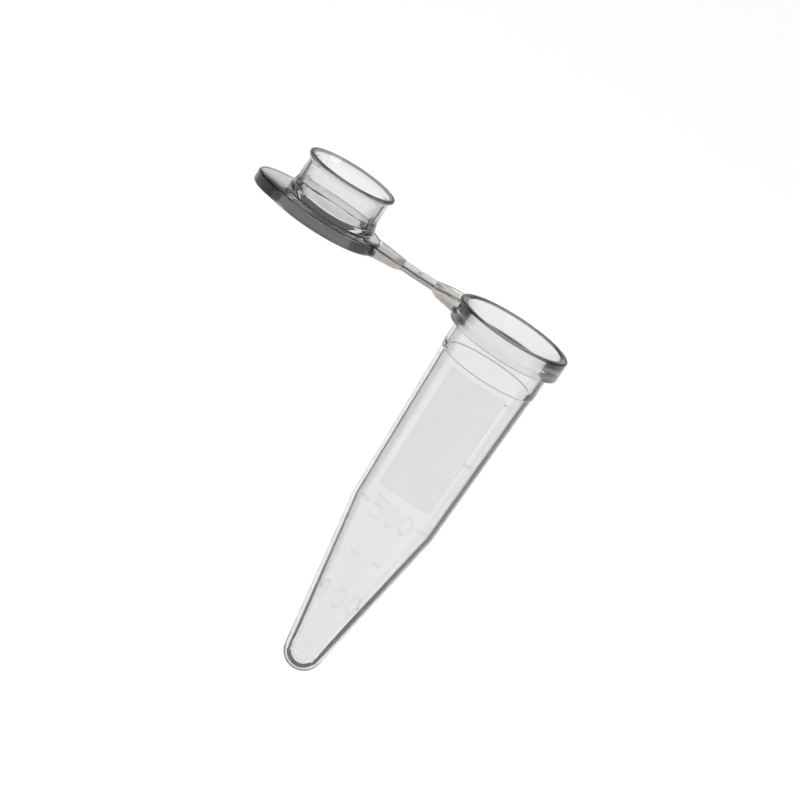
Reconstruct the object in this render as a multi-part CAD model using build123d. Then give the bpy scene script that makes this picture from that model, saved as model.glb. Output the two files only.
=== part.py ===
from build123d import *

import os
from math import asin, atan2, cos, hypot, pi, radians, sin

# A 1.5 mL microcentrifuge tube with its snap lid, one clear polypropylene moulding that is built
# here as its moulded regions. Millimetres. The origin is on the tube's axis, level with the
# underside of the mouth collar, where the tube hangs in a rack. +Z points out of the mouth. The
# lid lies open towards -X, as it leaves the mould, and swings over the mouth about the hinge.

# Tube, outside
COLLAR_R = 6.27
COLLAR_H = 2.3
COLLAR_EDGE = 0.2
NECK_R = 5.4
NECK_END_Z = -2.86
BARREL_TOP_R = 5.3
BARREL_END_R = 4.72
BARREL_END_Z = -20.5
BEND_R = 4.0
TIP_R = 2.1
TIP_END_Z = -39.5
TIP_SPLIT_Z = -36.8

# Tube, inside
MOUTH_R = 5.5
LEAD_IN_END_Z = 0.3
SEAL_R = 4.95
SEAL_END_Z = -2.6
BARREL_WALL = 0.5
BEND_WALL = 0.52
TIP_WALL = 0.75

# Lid: a disc round the plug with a narrower thumb lift at its far side. It is moulded a little
# lower than the mouth, and leaves a small gap over the collar when shut.
HINGE_X = -10.9
SEAT_GAP = 0.04
LID_DROP = 0.3
LID_R = 6.45
LID_OFFSET = -0.4
THUMB_R = 4.6
THUMB_OFFSET = -3.6
LID_THICK = 1.3
LID_EDGE = 0.22

# Plug: a wide foot, a waist and a sealing lip, hollow from its mouth down to the disc
PLUG_FOOT_R = 4.88
PLUG_FOOT_H = 0.7
PLUG_WAIST_R = 4.6
PLUG_WAIST_H = 1.6
PLUG_LIP_R = 4.93
PLUG_LIP_LOW = 3.8
PLUG_H = 4.45
PLUG_BORE_R = 4.12
PLUG_FLOOR_R = 3.4
PLUG_FLOOR_H = 0.7
PLUG_FLOOR_ROUND = 0.6
PLUG_FOOT_ROUND = 0.3
PLUG_MOUTH_R = 4.5
LIP_SLOPE_H = 0.15
LIP_LOW_ROUND = 0.1
LIP_ROUND = 0.15
LIP_INNER_ROUND = 0.08

# Hinge: two stiff lugs joined by a thin web, all with their tops below the mouth plane
WEB_DROP = 0.6
WEB_THICK = 0.4
WEB_HALF = 1.85
WEB_WIDTH = 3.7
CREASE_DEPTH = 0.12
CREASE_HALF = 0.2
LUG_EMBED = 0.6
LUG_SWELL_AT = 0.2
LUG_SWELL = 0.55
TUBE_LUG_WIDTH = 4.3
TUBE_LUG_TIP_WIDTH = 3.9
TUBE_LUG_THICK = 1.15
TUBE_RIB_H = 0.42
LID_LUG_WIDTH = 4.9
LID_LUG_TIP_WIDTH = 4.1
LID_LUG_THICK = 0.95
LID_RIB_H = 0.26
RIB_WIDTH = 0.55
RIB_KNEE_AT = 0.5
RIB_KNEE = 0.7

# Raised marks on the front of the tube, which is the side towards -Y
MARK_H = 0.08
SKIN_GAP = 0.002
TICK_H = 0.22
PANEL_H = 0.04
PANEL_TOP_Z = -3.4
PANEL_END_Z = -17.4
PANEL_HALF_ANGLE = 38
DIGIT_W = 1.3
DIGIT_H = 2.3
DIGIT_PITCH = 1.7
DIGIT_STROKE = 0.24
SIDE_TICK = (38, 52)
LOW_SIDE_TICK = (40, 56)
MIDDLE_TICK = (10, 24)

MOUTH_Z = COLLAR_H
TIP_BALL_Z = TIP_END_Z + TIP_R
PLUG_X = 2 * HINGE_X
LID_X = PLUG_X + LID_OFFSET
THUMB_X = PLUG_X + THUMB_OFFSET
LID_SEAT_Z = MOUTH_Z - LID_DROP
HINGE_Z = (MOUTH_Z + SEAT_GAP + LID_SEAT_Z) / 2
WEB_TOP_Z = MOUTH_Z - WEB_DROP
FAR = 60


# ---------------------------------------------------------------- shared shapes


def touch_point(r, z, ball_r, ball_z):
    """Where the cone that leaves (r, z) downwards touches a ball on the axis."""
    slope = atan2(r, z - ball_z) - asin(ball_r / hypot(r, z - ball_z))
    return ball_r * cos(slope), ball_z - ball_r * sin(slope)


def turned(*points, radius=0):
    """A solid of revolution about Z from (r, z) points; radius rounds its corners."""
    radii = radius if isinstance(radius, (list, tuple)) else [radius] * len(points)
    outline = FilletPolyline(*points, radius=radii, close=True)
    return revolve(Plane.XZ * make_face(outline), Axis.Z, 360)


def closed_cone(top_z, top_r, bend_r, ball_r, bend_radius):
    """A tapered barrel, its cone and the ball that ends it, solid throughout."""
    touch_r, touch_z = touch_point(bend_r, BARREL_END_Z, ball_r, TIP_BALL_Z)
    tip = (0, TIP_BALL_Z - ball_r)
    sides = FilletPolyline(
        (0, top_z), (top_r, top_z), (bend_r, BARREL_END_Z), (touch_r, touch_z),
        radius=[0, bend_radius],
    )
    middle = (ball_r * sin(pi / 4), TIP_BALL_Z - ball_r * cos(pi / 4))
    end = ThreePointArc((touch_r, touch_z), middle, tip)
    axis = Line(tip, (0, top_z))
    return revolve(Plane.XZ * make_face([sides, end, axis]), Axis.Z, 360)


def band(low, high):
    """The slab of space between two heights."""
    return Pos(0, 0, (low + high) / 2) * Box(FAR * 2, FAR * 2, high - low)


def sector(half_angle, low, high):
    """The wedge of space within half_angle of the front, between two heights."""
    reach, spread = FAR * cos(radians(half_angle)), FAR * sin(radians(half_angle))
    face = make_face(Polyline((0, 0), (-spread, -reach), (spread, -reach), close=True))
    return extrude(Pos(0, 0, low) * face, high - low, dir=(0, 0, 1))


# ---------------------------------------------------------------- tube


def tube_outside(grow=0.0):
    """The outside of the barrel and cone, below the neck, grown radially."""
    return closed_cone(
        NECK_END_Z, BARREL_TOP_R + grow, BARREL_END_R + grow, TIP_R + grow, BEND_R
    )


def tube_cavity():
    """The space inside the barrel and cone, below the sealing bore."""
    return closed_cone(
        NECK_END_Z, BARREL_TOP_R - BARREL_WALL, BARREL_END_R - BEND_WALL, TIP_R - TIP_WALL, BEND_R
    )


def mouth_collar():
    """The flange that sits round the top of the neck, with the flared lead-in of the mouth."""
    return turned(
        (NECK_R, 0),
        (COLLAR_R, 0),
        (COLLAR_R, MOUTH_Z),
        (MOUTH_R, MOUTH_Z),
        (SEAL_R, LEAD_IN_END_Z),
        radius=[0, COLLAR_EDGE, COLLAR_EDGE, COLLAR_EDGE, 0],
    )


def neck_band():
    """The neck, with the sealing bore inside it."""
    return turned(
        (SEAL_R, LEAD_IN_END_Z),
        (NECK_R, 0),
        (NECK_R, NECK_END_Z),
        (BARREL_TOP_R - BARREL_WALL, NECK_END_Z),
        (SEAL_R, SEAL_END_Z),
    )


def raised(prism, height):
    """What a prism leaves of a thin skin laid on the tube's outside."""
    return (prism & tube_outside(height)) - tube_outside(SKIN_GAP)


def writing_panel():
    return raised(sector(PANEL_HALF_ANGLE, PANEL_END_Z, PANEL_TOP_Z), PANEL_H)


def level_of(volume):
    """The height up to which the cavity holds a volume in cubic millimetres."""
    cavity = tube_cavity() + turned(
        (0, NECK_END_Z), (SEAL_R, NECK_END_Z), (SEAL_R, 0), (0, 0)
    )
    low, high = TIP_END_Z, 0
    for _ in range(16):
        middle = (low + high) / 2
        held = (cavity & band(TIP_END_Z, middle)).volume
        low, high = (middle, high) if held < volume else (low, middle)
    return low


def tick(angles, z):
    """A raised line at a height, from one angle to another, to the right of the front."""
    start, end = angles
    middle = (start + end) / 2
    return Rot(0, 0, middle) * sector((end - start) / 2, z - TICK_H / 2, z + TICK_H / 2)


def digit(name):
    """A plain stroked numeral, centred on its origin."""
    right, top = DIGIT_W / 2, DIGIT_H / 2
    left, waist, flag_low, foot = -right * 0.8, top * 0.1, top * 0.5, -top * 0.85
    if name == "0":
        inner = Ellipse(right - DIGIT_STROKE, top - DIGIT_STROKE)
        return Ellipse(right, top) - inner
    if name == "1":
        flag = Line((left, flag_low), (0, top - DIGIT_STROKE / 2))
        return Rectangle(DIGIT_STROKE, DIGIT_H) + trace(flag, DIGIT_STROKE)
    if name == "5":
        hook = Polyline((right, top), (left, top), (left, waist))
        bowl = ThreePointArc((left, waist), (right, (waist + foot) / 2), (left, foot))
        return trace(hook, DIGIT_STROKE) + trace(bowl, DIGIT_STROKE)
    raise ValueError(name)


def numeral(text, z):
    """Prisms through the front wall for a row of digits centred at a height."""
    row = []
    for place, name in enumerate(text):
        x = (place - (len(text) - 1) / 2) * DIGIT_PITCH
        row.append(extrude(Plane.XZ * Pos(x, z) * digit(name), FAR))
    return row


def graduation(volume, ticks, text=""):
    """The raised ticks, and the numeral if there is one, at a volume's level."""
    z = level_of(volume)
    prisms = [tick(angles, z) for angles in ticks] + numeral(text, z)
    pieces = [raised(prism, MARK_H) for prism in prisms]
    return Compound(children=[solid for piece in pieces for solid in piece.solids()])


def both_sides(angles):
    start, end = angles
    return [(-end, -start), (start, end)]


# ---------------------------------------------------------------- lid


def around_plug(part):
    return Pos(PLUG_X, 0, LID_SEAT_Z) * part


def lid_plan(low, high):
    """The lid's outline between two heights: its disc and its thumb lift in one smooth hull."""
    disc = Pos(LID_X, 0) * Circle(LID_R)
    thumb = Pos(THUMB_X, 0) * Circle(THUMB_R)
    outline = make_hull([*disc.edges(), *thumb.edges()])
    return extrude(Pos(0, 0, low) * outline, high - low, dir=(0, 0, 1))


def lid_disc():
    plate = lid_plan(LID_SEAT_Z - LID_THICK, LID_SEAT_Z)
    ends = plate.faces().filter_by(Axis.Z)
    return fillet([edge for face in ends for edge in face.edges()], LID_EDGE)


def plug_foot():
    return around_plug(turned(
        (PLUG_FLOOR_R, 0),
        (PLUG_FOOT_R, 0),
        (PLUG_FOOT_R, PLUG_FOOT_H),
        (PLUG_WAIST_R, PLUG_WAIST_H),
        (PLUG_BORE_R, PLUG_WAIST_H),
        (PLUG_BORE_R, PLUG_FLOOR_H),
        radius=[0, 0, PLUG_FOOT_ROUND, 0, 0, PLUG_FLOOR_ROUND],
    ))


def plug_skirt():
    return around_plug(turned(
        (PLUG_BORE_R, PLUG_WAIST_H),
        (PLUG_WAIST_R, PLUG_WAIST_H),
        (PLUG_WAIST_R, PLUG_LIP_LOW),
        (PLUG_BORE_R, PLUG_LIP_LOW),
    ))


def plug_lip():
    return around_plug(turned(
        (PLUG_BORE_R, PLUG_LIP_LOW),
        (PLUG_WAIST_R, PLUG_LIP_LOW),
        (PLUG_LIP_R, PLUG_LIP_LOW + LIP_SLOPE_H),
        (PLUG_LIP_R, PLUG_H),
        (PLUG_MOUTH_R, PLUG_H),
        radius=[0, 0, LIP_LOW_ROUND, LIP_ROUND, LIP_INNER_ROUND],
    ))


# ---------------------------------------------------------------- hinge


def side_shape(points, width):
    """A shape drawn in (x, z), centred across the hinge."""
    face = Plane.XZ * make_face(Polyline(*points, close=True))
    return extrude(face, width / 2, both=True)


def lug_plan(body_x, tip_x, body_width, tip_width):
    """The plan of a lug, narrower at its tip, as a tall prism."""
    root, tip = body_width / 2, tip_width / 2
    outline = Polyline(
        (body_x, root), (tip_x, tip), (tip_x, -tip), (body_x, -root), close=True
    )
    return extrude(make_face(outline), FAR, both=True)


def lug(body_x, tip_x, thick, plan):
    """A solid tongue, thick at the body it grows from and thin where the web starts."""
    swell_x = tip_x + (body_x - tip_x) * LUG_SWELL_AT
    points = [
        (body_x, WEB_TOP_Z),
        (tip_x, WEB_TOP_Z),
        (tip_x, WEB_TOP_Z - WEB_THICK),
        (swell_x, WEB_TOP_Z - WEB_THICK - (thick - WEB_THICK) * LUG_SWELL),
        (body_x, WEB_TOP_Z - thick),
    ]
    return side_shape(points, FAR) & plan


def lug_ribs(body_x, tip_x, height, tip_width, plan):
    """The two raised edges of a lug, which fall away towards the web."""
    points = [
        (body_x, WEB_TOP_Z),
        (tip_x, WEB_TOP_Z),
        (tip_x + (body_x - tip_x) * RIB_KNEE_AT, WEB_TOP_Z + height * RIB_KNEE),
        (body_x, WEB_TOP_Z + height),
    ]
    channel = Box(FAR, tip_width - 2 * RIB_WIDTH, FAR)
    return (side_shape(points, FAR) & plan) - channel


def hinge_web():
    """The thin web that bends, with a shallow crease across its middle."""
    low_z = WEB_TOP_Z - WEB_THICK
    points = [
        (HINGE_X - WEB_HALF, low_z),
        (HINGE_X - WEB_HALF, WEB_TOP_Z),
        (HINGE_X - CREASE_HALF, WEB_TOP_Z),
        (HINGE_X, WEB_TOP_Z - CREASE_DEPTH),
        (HINGE_X + CREASE_HALF, WEB_TOP_Z),
        (HINGE_X + WEB_HALF, WEB_TOP_Z),
        (HINGE_X + WEB_HALF, low_z),
    ]
    return side_shape(points, WEB_WIDTH)


# ---------------------------------------------------------------- all nodes


def tube_nodes():
    wall = tube_outside() - tube_cavity()
    tip_x, body_x = HINGE_X + WEB_HALF, -COLLAR_R + LUG_EMBED
    plan = lug_plan(body_x, tip_x, TUBE_LUG_WIDTH, TUBE_LUG_TIP_WIDTH) - Cylinder(COLLAR_R, FAR)
    return {
        "mouth_collar": mouth_collar(),
        "neck_band": neck_band(),
        "barrel_wall": wall & band(BARREL_END_Z, NECK_END_Z),
        "cone_wall": wall & band(TIP_SPLIT_Z, BARREL_END_Z),
        "tip_cap": wall & band(TIP_END_Z - 1, TIP_SPLIT_Z),
        "writing_panel": writing_panel(),
        "mark_1500": graduation(1500, [SIDE_TICK]),
        "mark_1000": graduation(1000, [SIDE_TICK]),
        "mark_500": graduation(500, both_sides(SIDE_TICK), "500"),
        "mark_250": graduation(250, both_sides(MIDDLE_TICK)),
        "mark_100": graduation(100, both_sides(LOW_SIDE_TICK), "100"),
        "tube_lug": lug(body_x, tip_x, TUBE_LUG_THICK, plan),
        "tube_lug_ribs": lug_ribs(body_x, tip_x, TUBE_RIB_H, TUBE_LUG_TIP_WIDTH, plan),
        "hinge_web": hinge_web(),
    }


def lid_nodes():
    tip_x, body_x = HINGE_X - WEB_HALF, LID_X + LID_R - LUG_EMBED
    plan = lug_plan(body_x, tip_x, LID_LUG_WIDTH, LID_LUG_TIP_WIDTH) - lid_plan(-FAR, FAR)
    return {
        "lid_disc": lid_disc(),
        "plug_foot": plug_foot(),
        "plug_skirt": plug_skirt(),
        "plug_lip": plug_lip(),
        "lid_lug": lug(body_x, tip_x, LID_LUG_THICK, plan),
        "lid_lug_ribs": lug_ribs(body_x, tip_x, LID_RIB_H, LID_LUG_TIP_WIDTH, plan),
    }


os.makedirs("parts", exist_ok=True)
for name, shape in {**tube_nodes(), **lid_nodes()}.items():
    export_step(shape, f"parts/{name}.step")
    print(f"{name:16s} {len(shape.solids())} solids {shape.volume:9.3f} mm3")
print(f"hinge axis at x {HINGE_X} z {HINGE_Z:.3f} mm")
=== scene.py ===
from math import acos, asin, atan2, cos, hypot, pi, radians, sin, tan

import bmesh
import bpy
from mathutils import Matrix, Vector


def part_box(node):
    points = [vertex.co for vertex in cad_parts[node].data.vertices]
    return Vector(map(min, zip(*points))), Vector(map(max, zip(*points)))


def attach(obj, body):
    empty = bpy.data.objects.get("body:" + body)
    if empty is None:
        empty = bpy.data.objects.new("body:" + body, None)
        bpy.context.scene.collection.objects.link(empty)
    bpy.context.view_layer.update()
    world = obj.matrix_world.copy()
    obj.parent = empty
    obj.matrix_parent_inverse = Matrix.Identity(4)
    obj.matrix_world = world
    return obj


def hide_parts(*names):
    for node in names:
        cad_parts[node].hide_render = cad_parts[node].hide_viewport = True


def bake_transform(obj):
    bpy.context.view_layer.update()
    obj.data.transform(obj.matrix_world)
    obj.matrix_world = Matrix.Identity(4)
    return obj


# A clear polypropylene microcentrifuge tube with its lid open on a living hinge, lit as on a
# white sweep. The object's lengths are in millimetres, and are turned into metres as its meshes are
# made. The stage, the lights, the camera and the grain of the materials are in metres.

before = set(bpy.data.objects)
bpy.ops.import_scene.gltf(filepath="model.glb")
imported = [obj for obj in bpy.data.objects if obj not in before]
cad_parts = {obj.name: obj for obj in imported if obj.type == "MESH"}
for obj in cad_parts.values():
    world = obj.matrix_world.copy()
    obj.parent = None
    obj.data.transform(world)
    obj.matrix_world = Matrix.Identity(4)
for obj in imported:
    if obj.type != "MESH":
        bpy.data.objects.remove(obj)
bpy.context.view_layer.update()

MM = 0.001
AROUND = 192  # facets about an upright axis
SHARP_ANGLE = radians(32)


def span(part, axis):
    """The lowest and highest coordinate of a CAD node along an axis, in millimetres."""
    low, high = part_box(part)
    return low[axis] / MM, high[axis] / MM


# The outside of the tube, from the frame where a node's box gives it
COLLAR_R = span("mouth_collar", 0)[1]
MOUTH_Z = span("mouth_collar", 2)[1]
NECK_R = span("neck_band", 0)[1]
NECK_END_Z = span("neck_band", 2)[0]
BARREL_TOP_R = span("barrel_wall", 0)[1]
BARREL_END_R = 4.72
BARREL_END_Z = -20.5
TIP_END_Z = span("tip_cap", 2)[0]
TIP_R = 2.1
TIP_BALL_Z = TIP_END_Z + TIP_R
BEND_R = 4.0
NECK_STEP_H = 0.14

# The inside of the tube, as in the CAD model but with a softer end to the sealing bore
MOUTH_R = 5.5
LEAD_IN_END_Z = 0.3
SEAL_R = 4.95
SEAL_END_Z = -2.6
SEAL_EASE_H = 0.6
BARREL_WALL = 0.5
BEND_WALL = 0.52
TIP_WALL = 0.75
LONGEST_RUN = 1.2

# The lid
LID_LOW_Z, LID_SEAT_Z = span("lid_disc", 2)
PLUG_X = sum(span("plug_skirt", 0)) / 2
LID_R = 6.45
LID_OFFSET = -0.4
THUMB_R = 4.6
THUMB_OFFSET = -3.6
LID_EDGE = 0.22
PLUG_FOOT_R = span("plug_foot", 1)[1]
PLUG_WAIST_R = span("plug_skirt", 1)[1]
PLUG_LIP_R = span("plug_lip", 1)[1]
PLUG_TOP_Z = span("plug_lip", 2)[1]
PLUG_BORE_R = 4.12
PLUG_MOUTH_R = 4.5
PLUG_FLOOR_R = 3.4
PLUG_EMBED = 0.35

# The hinge
WEB_LOW_Z, WEB_TOP_Z = span("hinge_web", 2)
WEB_LID_X, WEB_TUBE_X = span("hinge_web", 0)
WEB_HALF_Y = span("hinge_web", 1)[1]
CREASE_DEPTH = 0.12
CREASE_HALF = 0.22
RIB_WIDTH = 0.55


# ---------------------------------------------------------------- mesh helpers


def added(name, data):
    """A new object in the scene that shows this mesh, lamp or camera."""
    made = bpy.data.objects.new(name, data)
    bpy.context.scene.collection.objects.link(made)
    return made


def shade_smooth(mesh):
    """Smooth shading with the sharp edges kept."""
    mesh.polygons.foreach_set("use_smooth", [True] * len(mesh.polygons))
    mesh.set_sharp_from_angle(angle=SHARP_ANGLE)


def finished(name, bm):
    """An object in metres from a bmesh in millimetres."""
    bmesh.ops.recalc_face_normals(bm, faces=bm.faces)
    bmesh.ops.scale(bm, vec=(MM, MM, MM), verts=bm.verts)
    mesh = bpy.data.meshes.new(name)
    bm.to_mesh(mesh)
    bm.free()
    shade_smooth(mesh)
    return added(name, mesh)


def rounded(points, radii, step=radians(9)):
    """A closed polyline with each corner rounded to its radius."""
    out = []
    for i, here in enumerate(points):
        before, after = Vector(points[i - 1]), Vector(points[(i + 1) % len(points)])
        here = Vector(here)
        r = radii[i]
        if r <= 0:
            out.append(here)
            continue
        a, b = (before - here).normalized(), (after - here).normalized()
        half = acos(max(-1, min(1, a.dot(b)))) / 2
        centre = here + (a + b).normalized() * (r / sin(half))
        start, end = here + a * (r / tan(half)), here + b * (r / tan(half))
        turn = pi - 2 * half
        count = max(2, int(turn / step) + 1)
        u, v = start - centre, end - centre
        for k in range(count + 1):
            t = k / count
            w = sin((1 - t) * turn) / sin(turn) * u + sin(t * turn) / sin(turn) * v
            out.append(centre + w)
    return out


def arc(centre_z, r, start, end, count):
    """Points of a circle about the axis at centre_z, by angle below the horizontal."""
    angles = [start + (end - start) * k / count for k in range(count + 1)]
    return [Vector((r * cos(a), centre_z - r * sin(a))) for a in angles]


def lathe(bm, profile, x=0.0, count=AROUND):
    """Turns a closed (r, z) profile about the vertical axis at x. Points on the axis become poles."""
    rings = []
    for r, z in profile:
        if r < 1e-6:
            rings.append([bm.verts.new((x, 0, z))])
        else:
            rings.append([
                bm.verts.new((x + r * cos(2 * pi * k / count), r * sin(2 * pi * k / count), z))
                for k in range(count)
            ])
    for i, ring in enumerate(rings):
        after = rings[(i + 1) % len(rings)]
        if len(ring) == 1 and len(after) == 1:
            continue
        for k in range(count):
            k2 = (k + 1) % count
            if len(ring) == 1:
                bm.faces.new((ring[0], after[k], after[k2]))
            elif len(after) == 1:
                bm.faces.new((ring[k], after[0], ring[k2]))
            else:
                bm.faces.new((ring[k], after[k], after[k2], ring[k2]))


def loft(bm, sections):
    """A closed solid through sections that have the same number of points."""
    rings = [[bm.verts.new(p) for p in section] for section in sections]
    for a, b in zip(rings, rings[1:]):
        for k in range(len(a)):
            k2 = (k + 1) % len(a)
            bm.faces.new((a[k], b[k], b[k2], a[k2]))
    bm.faces.new(rings[0])
    bm.faces.new(rings[-1][::-1])


def union(base, *others):
    """Joins other closed meshes into base for good, and removes them."""
    for other in others:
        tool = base.modifiers.new("join", "BOOLEAN")
        tool.operation = "UNION"
        tool.solver = "EXACT"
        tool.object = other
        solid = bpy.data.meshes.new_from_object(
            base.evaluated_get(bpy.context.evaluated_depsgraph_get())
        )
        base.modifiers.clear()
        base.data = solid
        bpy.data.objects.remove(other)
    shade_smooth(base.data)
    return base


# ---------------------------------------------------------------- tube


def touch_angle(r, z, ball_r, ball_z):
    """The slope of the cone from (r, z) that touches a ball on the axis."""
    return atan2(r, z - ball_z) - asin(ball_r / hypot(r, z - ball_z))


def tube_profile():
    """The closed (r, z) outline of the tube's wall, each corner given with its rounding."""
    outer_slope = touch_angle(BARREL_END_R, BARREL_END_Z, TIP_R, TIP_BALL_Z)
    inner_end_r, inner_ball_r = BARREL_END_R - BEND_WALL, TIP_R - TIP_WALL
    inner_slope = touch_angle(inner_end_r, BARREL_END_Z, inner_ball_r, TIP_BALL_Z)
    outer_touch = (TIP_R * cos(outer_slope), TIP_BALL_Z - TIP_R * sin(outer_slope))
    inner_touch = (inner_ball_r * cos(inner_slope), TIP_BALL_Z - inner_ball_r * sin(inner_slope))
    corners = [
        (outer_touch, 0),
        ((BARREL_END_R, BARREL_END_Z), BEND_R),
        ((BARREL_TOP_R, NECK_END_Z), 0.05),
        ((NECK_R, NECK_END_Z + NECK_STEP_H), 0.05),
        ((NECK_R, 0), 0.12),
        ((COLLAR_R, 0), 0.2),
        ((COLLAR_R, MOUTH_Z), 0.2),
        ((MOUTH_R, MOUTH_Z), 0.22),
        ((SEAL_R, LEAD_IN_END_Z), 0.8),
        ((SEAL_R, SEAL_END_Z + SEAL_EASE_H), 1.5),
        ((BARREL_TOP_R - BARREL_WALL, NECK_END_Z), 0.2),
        ((inner_end_r, BARREL_END_Z), BEND_R),
        (inner_touch, 0),
    ]
    wall = rounded([p for p, _ in corners], [r for _, r in corners])
    wall = refine(wall, LONGEST_RUN)
    inner_ball = arc(TIP_BALL_Z, inner_ball_r, inner_slope, pi / 2, 14)[1:]
    outer_ball = arc(TIP_BALL_Z, TIP_R, pi / 2, outer_slope, 18)[:-1]
    inner_ball[-1].x = outer_ball[0].x = 0
    return wall + inner_ball + outer_ball


def refine(points, longest):
    """The same open polyline with its long runs divided."""
    out = [points[0]]
    for a, b in zip(points, points[1:]):
        count = max(1, int((b - a).length / longest))
        out += [a.lerp(b, (k + 1) / count) for k in range(count)]
    return out


def lug_section(x, half_y, low_z, rib_z, floor_z):
    """One cross-section of a lug: a rounded belly below and a channel between two ribs above."""
    belly = min(0.45, (floor_z - low_z) * 0.6)
    inner = half_y - RIB_WIDTH
    soft = min(0.12, (rib_z - floor_z) * 0.45)
    corners = [
        ((-half_y, low_z), belly), ((half_y, low_z), belly),
        ((half_y, rib_z), 0.14), ((inner, rib_z), 0.08),
        ((inner - 0.12, floor_z), soft), ((-inner + 0.12, floor_z), soft),
        ((-inner, rib_z), 0.08), ((-half_y, rib_z), 0.14),
    ]
    outline = fixed_rounded([p for p, _ in corners], [r for _, r in corners], 5)
    return [(x, p.x, p.y) for p in outline]


def fixed_rounded(points, radii, count):
    """rounded() with the same number of points at every corner, so that sections match."""
    out = []
    for i, here in enumerate(points):
        before, after = Vector(points[i - 1]), Vector(points[(i + 1) % len(points)])
        here = Vector(here)
        a, b = before - here, after - here
        reach = min(a.length, b.length) * 0.45
        a.normalize()
        b.normalize()
        cut = min(radii[i], reach)
        start, end = here + a * cut, here + b * cut
        for k in range(count + 1):
            t = k / count
            out.append(start * (1 - t) ** 2 + here * 2 * t * (1 - t) + end * t ** 2)
    return out


def knee(t, at, height):
    """Rises from 0 to height as t goes from 0 to at, and on to 1 as t goes on to 1."""
    return min(1, t / at) * height + max(0, t - at) / (1 - at) * (1 - height)


def lug(name, root_x, tip_x, root_half, tip_half, thick, rib_h):
    """A stiff tongue from a body at root_x to the web at tip_x."""
    web_thick = WEB_TOP_Z - WEB_LOW_Z
    bm = bmesh.new()
    sections = []
    for t in (0, 0.12, 0.25, 0.4, 0.55, 0.7, 0.8, 0.88, 0.95, 1.0):
        near = 1 - t
        low_z = WEB_LOW_Z - (thick - web_thick) * knee(near, at=0.2, height=0.55)
        rib_z = WEB_TOP_Z + max(0.02, rib_h * knee(near, at=0.5, height=0.7))
        half = root_half + (tip_half - root_half) * t
        sections.append(lug_section(root_x + (tip_x - root_x) * t, half, low_z, rib_z, WEB_TOP_Z))
    loft(bm, sections)
    return finished(name, bm)


def tube_shell():
    bm = bmesh.new()
    lathe(bm, [(p.x, p.y) for p in tube_profile()])
    shell = finished("tube_shell", bm)
    tongue = lug(
        "tube_tongue", root_x=-5.78, tip_x=WEB_TUBE_X, root_half=2.15, tip_half=1.95, thick=1.15, rib_h=0.42
    )
    return union(shell, tongue)


# ---------------------------------------------------------------- lid


def lid_outline(inset, count=72):
    """The lid's plan: a round disc and a narrower thumb lift in one convex outline."""
    disc_x, thumb_x = PLUG_X + LID_OFFSET, PLUG_X + THUMB_OFFSET
    lean = asin((LID_R - THUMB_R) / (disc_x - thumb_x))
    turn = pi / 2 + lean
    points = []
    for k in range(2 * count + 1):
        a = -turn + 2 * turn * k / (2 * count)
        points.append((disc_x + (LID_R - inset) * cos(a), (LID_R - inset) * sin(a)))
    for k in range(count + 1):
        a = turn + (2 * pi - 2 * turn) * k / count
        points.append((thumb_x + (THUMB_R - inset) * cos(a), (THUMB_R - inset) * sin(a)))
    return points


def lid_plate():
    """The flat plate with its upper and lower edges rounded."""
    steps = 5
    angles = [pi / 2 * k / steps for k in range(steps + 1)]
    levels = [(LID_EDGE * (1 - sin(a)), LID_LOW_Z + LID_EDGE * (1 - cos(a))) for a in angles]
    levels += [(inset, LID_LOW_Z + LID_SEAT_Z - z) for inset, z in levels[::-1]]
    bm = bmesh.new()
    loft(bm, [[(x, y, z) for x, y in lid_outline(inset)] for inset, z in levels])
    return finished("lid_shell", bm)


def plug():
    """The hollow plug: a flared foot, a thin waist and a thicker sealing lip."""
    seat = LID_SEAT_Z
    lip_low = span("plug_lip", 2)[0]
    waist_z = span("plug_skirt", 2)[0]
    corners = [
        ((PLUG_FLOOR_R - 0.4, seat - PLUG_EMBED), 0),
        ((PLUG_FOOT_R - 0.3, seat - PLUG_EMBED), 0),
        ((PLUG_FOOT_R, seat), 0),
        ((PLUG_FOOT_R, seat + 0.7), 0.3),
        ((PLUG_WAIST_R, waist_z), 0.5),
        ((PLUG_WAIST_R, lip_low - 0.05), 0.25),
        ((PLUG_LIP_R, lip_low + 0.32), 0.22),
        ((PLUG_LIP_R, PLUG_TOP_Z), 0.2),
        ((PLUG_MOUTH_R, PLUG_TOP_Z), 0.2),
        ((PLUG_BORE_R, lip_low), 0.3),
        ((PLUG_BORE_R, seat + 0.7), 0.6),
        ((PLUG_FLOOR_R, seat), 0.25),
    ]
    ring = rounded([p for p, _ in corners], [r for _, r in corners])
    bm = bmesh.new()
    lathe(bm, [(p.x, p.y) for p in ring], PLUG_X)
    return finished("lid_plug", bm)


def lid_shell():
    root_x = PLUG_X + LID_OFFSET + LID_R - 0.9
    tongue = lug(
        "lid_tongue", root_x=root_x, tip_x=WEB_LID_X, root_half=2.4, tip_half=2.05, thick=0.95, rib_h=0.26
    )
    return union(lid_plate(), plug(), tongue)


# ---------------------------------------------------------------- hinge web


def hinge_web():
    """The thin web, moulded flat, with its crease across the middle."""
    middle, count = (WEB_LID_X + WEB_TUBE_X) / 2, 36
    sections = []
    for k in range(count + 1):
        x = WEB_LID_X + (WEB_TUBE_X - WEB_LID_X) * k / count
        dip = CREASE_DEPTH * max(0, 1 - abs(x - middle) / CREASE_HALF)
        top, low, half = WEB_TOP_Z - dip, WEB_LOW_Z, WEB_HALF_Y
        outline = fixed_rounded(
            [(-half, low), (half, low), (half, top), (-half, top)], [0.12] * 4, 4
        )
        sections.append([(x, p.x, p.y) for p in outline])
    bm = bmesh.new()
    loft(bm, sections)
    return finished("hinge_strap", bm)


# ---------------------------------------------------------------- writing panel

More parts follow.
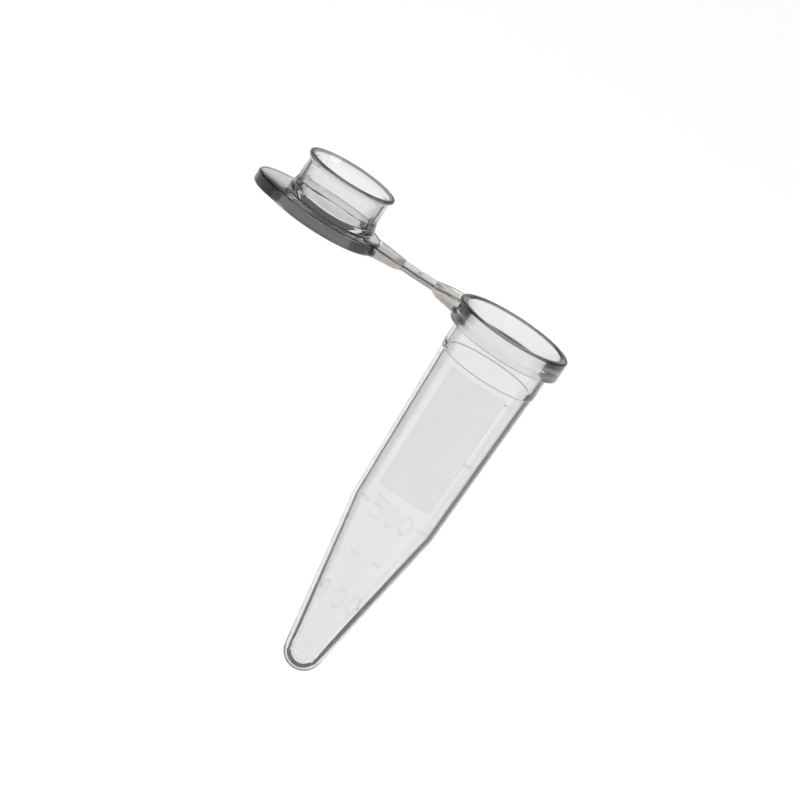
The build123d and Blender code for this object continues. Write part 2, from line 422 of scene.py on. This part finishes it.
PANEL_END_Z, PANEL_TOP_Z = span("writing_panel", 2)
PANEL_HALF_ANGLE = asin(span("writing_panel", 0)[1] / (BARREL_TOP_R - 0.01))
PANEL_H = 0.03
PANEL_GAP = 0.004
PANEL_ROWS = 24


def barrel_r(z):
    """The barrel's outer radius at a height."""
    t = (z - BARREL_END_Z) / (NECK_END_Z - BARREL_END_Z)
    return BARREL_END_R + (BARREL_TOP_R - BARREL_END_R) * t


def writing_panel():
    """A thin frosted skin on the front of the barrel, in step with the barrel's own facets."""
    step = 2 * pi / AROUND
    wide = int(PANEL_HALF_ANGLE / step)
    angles = [-pi / 2 + step * k for k in range(-wide, wide + 1)]
    last = len(angles) - 1
    bm = bmesh.new()
    skins = []
    for lift in (PANEL_GAP, PANEL_GAP + PANEL_H):
        skin = []
        for j in range(PANEL_ROWS + 1):
            z = PANEL_END_Z + (PANEL_TOP_Z - PANEL_END_Z) * j / PANEL_ROWS
            r = barrel_r(z) + lift
            skin.append([bm.verts.new((r * cos(a), r * sin(a), z)) for a in angles])
        skins.append(skin)
    low, high = skins
    for j in range(PANEL_ROWS):
        for k in range(last):
            for skin in skins:
                bm.faces.new((skin[j][k], skin[j][k + 1], skin[j + 1][k + 1], skin[j + 1][k]))
        for k in (0, last):
            bm.faces.new((low[j][k], high[j][k], high[j + 1][k], low[j + 1][k]))
    for j in (0, PANEL_ROWS):
        for k in range(last):
            bm.faces.new((low[j][k], low[j][k + 1], high[j][k + 1], high[j][k]))
    return finished("frosted_panel", bm)


# ---------------------------------------------------------------- materials


def material(name):
    """A new material with its node tree and its Principled shader."""
    made = bpy.data.materials.new(name)
    made.use_nodes = True
    tree = made.node_tree
    return made, tree, tree.nodes["Principled BSDF"]


def node(tree, kind, inputs=(), **settings):
    """A new node. An input is a socket to link from, or else a plain value."""
    made = tree.nodes.new(kind)
    for key, value in settings.items():
        setattr(made, key, value)
    for key, value in dict(inputs).items():
        if isinstance(value, bpy.types.NodeSocket):
            tree.links.new(value, made.inputs[key])
        else:
            made.inputs[key].default_value = value
    return made


def noise(tree, scale, detail=3.0, stretch=(1, 1, 1)):
    """Noise in the piece's own metres, scale in features per metre."""
    where = node(tree, "ShaderNodeTexCoord").outputs["Object"]
    spread = node(tree, "ShaderNodeMapping", {"Vector": where, "Scale": stretch})
    return node(
        tree, "ShaderNodeTexNoise",
        {"Vector": spread.outputs["Vector"], "Scale": scale, "Detail": detail},
    ).outputs["Fac"]


def between(tree, value, low, high):
    """Noise stretched over the range from low to high."""
    return node(
        tree, "ShaderNodeMapRange",
        {"Value": value, "From Min": 0.2, "From Max": 0.8, "To Min": low, "To Max": high},
    ).outputs["Result"]


def ramp(tree, value, start, end):
    """0 up to start, 1 from end on and smooth between. Falls where start is the larger."""
    return node(
        tree, "ShaderNodeMapRange", {"Value": value, "From Min": start, "From Max": end},
        interpolation_type="SMOOTHSTEP",
    ).outputs["Result"]


def times(tree, a, b):
    return node(tree, "ShaderNodeMath", {0: a, 1: b}, operation="MULTIPLY").outputs[0]


def mixed(tree, kind, share, below, above):
    return node(
        tree, "ShaderNodeMix", {"Factor": share, "A": below, "B": above}, data_type=kind
    ).outputs["Result"]


def place(tree, centre_x=0.0):
    """x, z and the distance from the upright axis at centre_x, in the piece's own metres."""
    where = node(tree, "ShaderNodeTexCoord").outputs["Object"]
    parts = node(tree, "ShaderNodeSeparateXYZ", {"Vector": where})
    flat = node(
        tree, "ShaderNodeVectorMath",
        {0: where, 1: (1, 1, 0), 2: (-centre_x, 0, 0)}, operation="MULTIPLY_ADD",
    ).outputs["Vector"]
    r = node(tree, "ShaderNodeVectorMath", {0: flat}, operation="LENGTH").outputs["Value"]
    return parts.outputs["X"], parts.outputs["Z"], r


POLYPROPYLENE_IOR = 1.49
# Painted shade: the dark tone on the mouth's and the plug's rims stands in for how the clear plastic bends
# light there
RIM_PAINTED_SHADE = (0.12, 0.12, 0.118, 1)
# Painted light: the lug's warm, milky tone stands in for light bent through the thick lug and warm light
# from around it
LUG_PAINTED_LIGHT = (0.87, 0.82, 0.78, 1)
LUG_CLEARNESS = 0.6
# Painted shade, mixed into the plastic's colour where its surface turns away from the viewer
GRAZING_PAINTED_SHADE = (0.32, 0.32, 0.31, 1)
GRAZING_SHARE = 0.75
HAZE_ROUGHNESS = 0.15


def below_ribs(tree, z):
    """A mask of what lies below the foot of the ribs on a lug."""
    return ramp(tree, z, (WEB_TOP_Z + 0.04) * MM, (WEB_TOP_Z - 0.06) * MM)


def tube_zones(tree):
    """The hazy collar, the rim that gets painted shade and the lug that gets a painted warm, milky light,
    as masks.
    """
    x, z, r = place(tree)
    collar = ramp(tree, r, (COLLAR_R - 0.3) * MM, (COLLAR_R - 0.15) * MM)
    # The mouth's rim, which gets painted shade
    rim = ramp(tree, z, (MOUTH_Z - 0.24) * MM, (MOUTH_Z - 0.14) * MM)
    # The tube's lug, which gets a painted warm, milky light
    lug = ramp(tree, x, (-COLLAR_R - 0.02) * MM, (-COLLAR_R - 0.2) * MM)
    return collar, rim, times(tree, lug, below_ribs(tree, z))


def lid_zones(tree):
    """The hazy edge of the disc, the plug's rim that gets painted shade and the lug that gets a painted
    warm, milky light, as masks.
    """
    x, z, r = place(tree, PLUG_X * MM)
    normal = node(tree, "ShaderNodeTexCoord").outputs["Normal"]
    lean = node(tree, "ShaderNodeSeparateXYZ", {"Vector": normal}).outputs["Z"]
    level = node(tree, "ShaderNodeMath", {0: lean}, operation="ABSOLUTE").outputs[0]
    upright = ramp(tree, level, 0.8, 0.5)
    outer = ramp(tree, r, (PLUG_LIP_R + 0.25) * MM, (PLUG_LIP_R + 0.35) * MM)
    low = ramp(tree, z, LID_SEAT_Z * MM, (LID_SEAT_Z - 0.1) * MM)
    edge = times(tree, times(tree, upright, outer), low)
    # The plug's rim, which gets painted shade
    rim = ramp(tree, z, (PLUG_TOP_Z - 0.28) * MM, (PLUG_TOP_Z - 0.2) * MM)
    lid_end = PLUG_X + LID_OFFSET + LID_R
    # The lid's lug, which gets a painted warm, milky light
    lug = ramp(tree, x, (lid_end - 0.05) * MM, (lid_end + 0.12) * MM)
    return edge, rim, times(tree, lug, below_ribs(tree, z))


def clear_plastic(name, rough, wave, zones=None):
    """Clear polypropylene: near-smooth, with faint flow waves and a little loss with depth.

    The tones of the rim and lug zones are painted, to stand in for how the real plastic bends light."""
    made, tree, shader = material(name)
    shader.inputs["Transmission Weight"].default_value = 1.0
    shader.inputs["IOR"].default_value = POLYPROPYLENE_IOR
    flow = noise(tree, 420, 3, (1, 1, 0.25))
    fine = noise(tree, 2600, 2)
    colour = mixed(tree, "RGBA", flow, (0.935, 0.935, 0.927, 1), (0.895, 0.90, 0.892, 1))
    roughness = between(tree, fine, *rough)
    if zones:
        haze, rim, lug = zones(tree)
        # Painted shade: the rim zone takes a dark tone
        colour = mixed(tree, "RGBA", rim, colour, RIM_PAINTED_SHADE)
        # Painted light: the lug zone takes a warm, milky tone
        colour = mixed(tree, "RGBA", lug, colour, LUG_PAINTED_LIGHT)
        roughness = mixed(tree, "FLOAT", haze, roughness, HAZE_ROUGHNESS)
        # Part of the lug's painted milky light: the lug lets less light through
        clearness = mixed(tree, "FLOAT", lug, 1.0, LUG_CLEARNESS)
        tree.links.new(clearness, shader.inputs["Transmission Weight"])
    # Painted shade: darker where the surface turns away from the viewer, which deepens the clear outline
    grazing = node(tree, "ShaderNodeLayerWeight", {"Blend": 0.5}).outputs["Facing"]
    edge = times(tree, ramp(tree, grazing, 0.72, 0.95), GRAZING_SHARE)
    colour = mixed(tree, "RGBA", edge, colour, GRAZING_PAINTED_SHADE)
    tree.links.new(colour, shader.inputs["Base Color"])
    tree.links.new(roughness, shader.inputs["Roughness"])
    bump = node(tree, "ShaderNodeBump", {"Height": flow, "Strength": 1.0, "Distance": wave})
    tree.links.new(bump.outputs["Normal"], shader.inputs["Normal"])
    loss = node(
        tree, "ShaderNodeVolumeAbsorption", {"Color": (0.50, 0.51, 0.49, 1), "Density": 195.0}
    )
    tree.links.new(loss.outputs["Volume"], tree.nodes["Material Output"].inputs["Volume"])
    return made


def frosted_plastic(name, rough, grain, bright, dim):
    """The same plastic with a fine spark-eroded texture."""
    made, tree, shader = material(name)
    shader.inputs["Transmission Weight"].default_value = 1.0
    shader.inputs["IOR"].default_value = POLYPROPYLENE_IOR
    coarse, fine = noise(tree, 900, 2), noise(tree, 2500, 1)
    tree.links.new(mixed(tree, "RGBA", coarse, bright, dim), shader.inputs["Base Color"])
    tree.links.new(between(tree, coarse, *rough), shader.inputs["Roughness"])
    bump = node(tree, "ShaderNodeBump", {"Height": fine, "Strength": 0.6, "Distance": grain})
    tree.links.new(bump.outputs["Normal"], shader.inputs["Normal"])
    return made


tube_paint = clear_plastic("clear_pp_tube", rough=(0.01, 0.06), wave=6e-6, zones=tube_zones)
lid_paint = clear_plastic("clear_pp_lid", rough=(0.01, 0.06), wave=6e-6, zones=lid_zones)
strap_paint = clear_plastic("clear_pp_strap", rough=(0.03, 0.10), wave=1e-5)
mark_paint = frosted_plastic(
    "moulded_mark", rough=(0.02, 0.055), grain=2e-6,
    bright=(0.98, 0.98, 0.97, 1), dim=(0.95, 0.95, 0.94, 1),
)
panel_paint = frosted_plastic(
    "frosted_panel", rough=(0.18, 0.26), grain=2e-7,
    bright=(0.972, 0.972, 0.968, 1), dim=(0.94, 0.94, 0.936, 1),
)


def paint_only(piece, paint):
    piece.data.materials.clear()
    piece.data.materials.append(paint)


def painted(piece, paint):
    """Paints a new piece."""
    paint_only(piece, paint)


tube = tube_shell()
painted(tube, tube_paint)
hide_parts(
    "mouth_collar", "neck_band", "barrel_wall", "cone_wall", "tip_cap", "tube_lug", "tube_lug_ribs"
)
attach(tube, "tube")

lid = lid_shell()
painted(lid, lid_paint)
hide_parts("lid_disc", "plug_foot", "plug_skirt", "plug_lip", "lid_lug", "lid_lug_ribs")
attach(lid, "lid")

strap = hinge_web()
painted(strap, strap_paint)
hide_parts("hinge_web")
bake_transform(strap)

panel = writing_panel()
painted(panel, panel_paint)
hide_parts("writing_panel")
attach(panel, "tube")

for name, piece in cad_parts.items():
    if name.startswith("mark_"):
        paint_only(piece, mark_paint)
        shade_smooth(piece.data)


# ---------------------------------------------------------------- stage, light and camera

FLOOR_DROP = 0.045
FLOOR_WIDTH = 6.0
FLOOR_Z = TIP_END_Z * MM - FLOOR_DROP
CARD_HEIGHT = 0.2
CARD_DISTANCE = 0.10


def matt(name, grey):
    """A plain matt grey material with its node tree and shader."""
    made, tree, shader = material(name)
    shader.inputs["Base Color"].default_value = (grey, grey, grey, 1)
    shader.inputs["Roughness"].default_value = 0.9
    return made, tree, shader


def rectangle(name, width, depth, paint):
    """A flat rectangle facing up, with its middle at the origin, in metres."""
    bm = bmesh.new()
    bmesh.ops.create_grid(bm, x_segments=1, y_segments=1, size=0.5)
    bmesh.ops.scale(bm, vec=(width, depth, 1), verts=bm.verts)
    mesh = bpy.data.meshes.new(name)
    bm.to_mesh(mesh)
    bm.free()
    mesh.materials.append(paint)
    return added(name, mesh)


floor_paint, _, _ = matt("pale_floor", 0.94)
floor = rectangle("floor", FLOOR_WIDTH, FLOOR_WIDTH, floor_paint)
floor.location.z = FLOOR_Z

box_light = bpy.data.lights.new("right_box", "AREA")
box_light.shape = "RECTANGLE"
box_light.size = 0.3
box_light.size_y = 0.3
box_light.energy = 0.8
box_holder = added("right_box", box_light)
box_holder.location = (0.45, -0.1, 0.35)
box_aim = Vector((0, 0, -0.01)) - box_holder.location
box_holder.rotation_euler = box_aim.to_track_quat("-Z", "Y").to_euler()

# The sun is hidden from reflection and refraction, where it would wash out the plastic's dark rims
sun = bpy.data.lights.new("overhead", "SUN")
sun.energy = 3.2
sun.angle = radians(60)
sun_holder = added("overhead", sun)
sun_holder.rotation_euler = (radians(20), radians(15), 0)
sun_holder.visible_transmission = False
sun_holder.visible_glossy = False


def black_card_paint():
    """Black to light that arrives after an odd number of bounces, three or more, and clear to the rest.

    Light guided inside one wall mostly makes an odd number, and light straight through both walls an
    even one, so the cards draw the tube's dark outline and leave its middle light. No real card can."""
    made, tree, shader = matt("black_card", 0.1)
    shader.inputs["Specular IOR Level"].default_value = 0.0
    turns = node(tree, "ShaderNodeLightPath").outputs["Ray Depth"]
    odd = node(tree, "ShaderNodeMath", {0: turns, 1: 2.0}, operation="MODULO").outputs[0]
    past_two = node(tree, "ShaderNodeMath", {0: turns, 1: 2.5}, operation="GREATER_THAN").outputs[0]
    clear = node(tree, "ShaderNodeBsdfTransparent").outputs[0]
    either = node(
        tree, "ShaderNodeMixShader", {0: times(tree, odd, past_two), 1: clear, 2: shader.outputs[0]}
    )
    tree.links.new(either.outputs[0], tree.nodes["Material Output"].inputs["Surface"])
    return made


card_paint = black_card_paint()


def card(name, centre, facing, size):
    """A black card on the stage that only the plastic sees."""
    made = rectangle(name, *size, card_paint)
    made.location = centre
    made.rotation_euler = Vector(facing).to_track_quat("Z", "Y").to_euler()
    for ray_kind in ("camera", "shadow", "diffuse"):
        setattr(made, "visible_" + ray_kind, False)


def card_behind(name, from_angle, to_angle, distance, height):
    """An upright card behind the tube, between two angles right of straight behind, on the floor."""
    a, b = (Vector((sin(radians(t)), cos(radians(t)), 0)) * distance for t in (from_angle, to_angle))
    middle = (a + b) / 2
    middle.z = FLOOR_Z + height / 2
    across = b - a
    card(name, middle, (across.y, -across.x, 0), (across.length, height))


card_behind("right_flag", 16, 62, CARD_DISTANCE, CARD_HEIGHT)
card_behind("left_flag", -72, -37, CARD_DISTANCE, CARD_HEIGHT)
card("low_flag", (0, 0.050, FLOOR_Z + 0.001), (0, 0, 1), (0.16, 0.09))

# The camera sees a plain white backdrop. Everything else sees a grey sky, darker overhead.
world = bpy.data.worlds.new("sweep")
bpy.context.scene.world = world
world.use_nodes = True
tree = world.node_tree
tree.nodes.clear()
ray = node(tree, "ShaderNodeLightPath")
way = node(tree, "ShaderNodeTexCoord").outputs["Generated"]
upward = node(tree, "ShaderNodeSeparateXYZ", {"Vector": way}).outputs["Z"]
sky = node(
    tree, "ShaderNodeMapRange",
    {"Value": upward, "From Min": 0.1, "From Max": 0.6, "To Min": 0.5, "To Max": 0.1},
    interpolation_type="SMOOTHSTEP",
)
room_light = node(tree, "ShaderNodeBackground", {"Color": sky.outputs["Result"]})
backdrop = node(tree, "ShaderNodeBackground", {"Color": (1, 1, 1, 1), "Strength": 1.05})
seen = node(
    tree, "ShaderNodeMixShader",
    {0: ray.outputs["Is Camera Ray"], 1: room_light.outputs[0], 2: backdrop.outputs[0]},
)
node(tree, "ShaderNodeOutputWorld", {"Surface": seen.outputs[0]})

# The camera looks from the front, a little above, and is rolled so that the tube leans. SHIFT is how
# far it slides right and up in its own plane.
CAMERA_AZIMUTH = radians(0)
CAMERA_ELEVATION = radians(13.1)
CAMERA_ROLL = radians(33.15)
CAMERA_DISTANCE = 0.5
SENSOR_WIDTH = 36
VIEW_WIDTH = 0.08
AIM = Vector((-0.008, 0, -0.0127))
SHIFT = (0.00325, 0.0008)

back_way = Vector((
    sin(CAMERA_AZIMUTH) * cos(CAMERA_ELEVATION),
    -cos(CAMERA_AZIMUTH) * cos(CAMERA_ELEVATION),
    sin(CAMERA_ELEVATION),
))
right_way = Vector((cos(CAMERA_AZIMUTH), sin(CAMERA_AZIMUTH), 0))
up_way = back_way.cross(right_way)
rolled_right = right_way * cos(CAMERA_ROLL) + up_way * sin(CAMERA_ROLL)
rolled_up = up_way * cos(CAMERA_ROLL) - right_way * sin(CAMERA_ROLL)
lens = bpy.data.cameras.new("camera")
lens.sensor_width = SENSOR_WIDTH
lens.lens = SENSOR_WIDTH * CAMERA_DISTANCE / VIEW_WIDTH
lens.clip_start = 0.01
camera = added("camera", lens)
eye = AIM + rolled_right * SHIFT[0] + rolled_up * SHIFT[1] + back_way * CAMERA_DISTANCE
turn = Matrix((rolled_right, rolled_up, back_way)).transposed().to_4x4()
camera.matrix_world = Matrix.Translation(eye) @ turn
bpy.context.scene.camera = camera
bpy.context.scene.view_settings.view_transform = "Standard"
